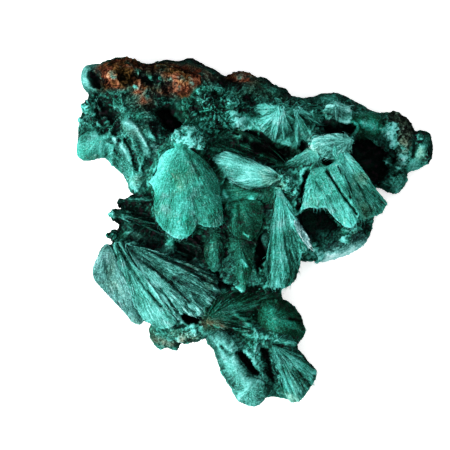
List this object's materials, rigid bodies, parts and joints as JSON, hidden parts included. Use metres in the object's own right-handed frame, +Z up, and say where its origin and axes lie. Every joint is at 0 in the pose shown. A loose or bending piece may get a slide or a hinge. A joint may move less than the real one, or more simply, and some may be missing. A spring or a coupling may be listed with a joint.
{
  "type": "fibrous malachite specimen",
  "caption": "Mineral hand specimen: radiating fans, sheaves and blades of fibrous green crystals on a lumpy body, lying on its flat broken back.",
  "frame": {"origin": "a point on the flat broken back, below the middle of the specimen", "axes": "+Z up through the fans, at right angles to the flat back; +Y towards the brown crusted end; +X towards the far knobs"},
  "size_m": [0.0889, 0.0873, 0.036],
  "materials": {
    "malachite": "silky to velvety green fibres, dull brown crust at one end"
  },
  "bodies": {
    "root": {"malachite_specimen": "malachite"}
  },
  "joints": []
}
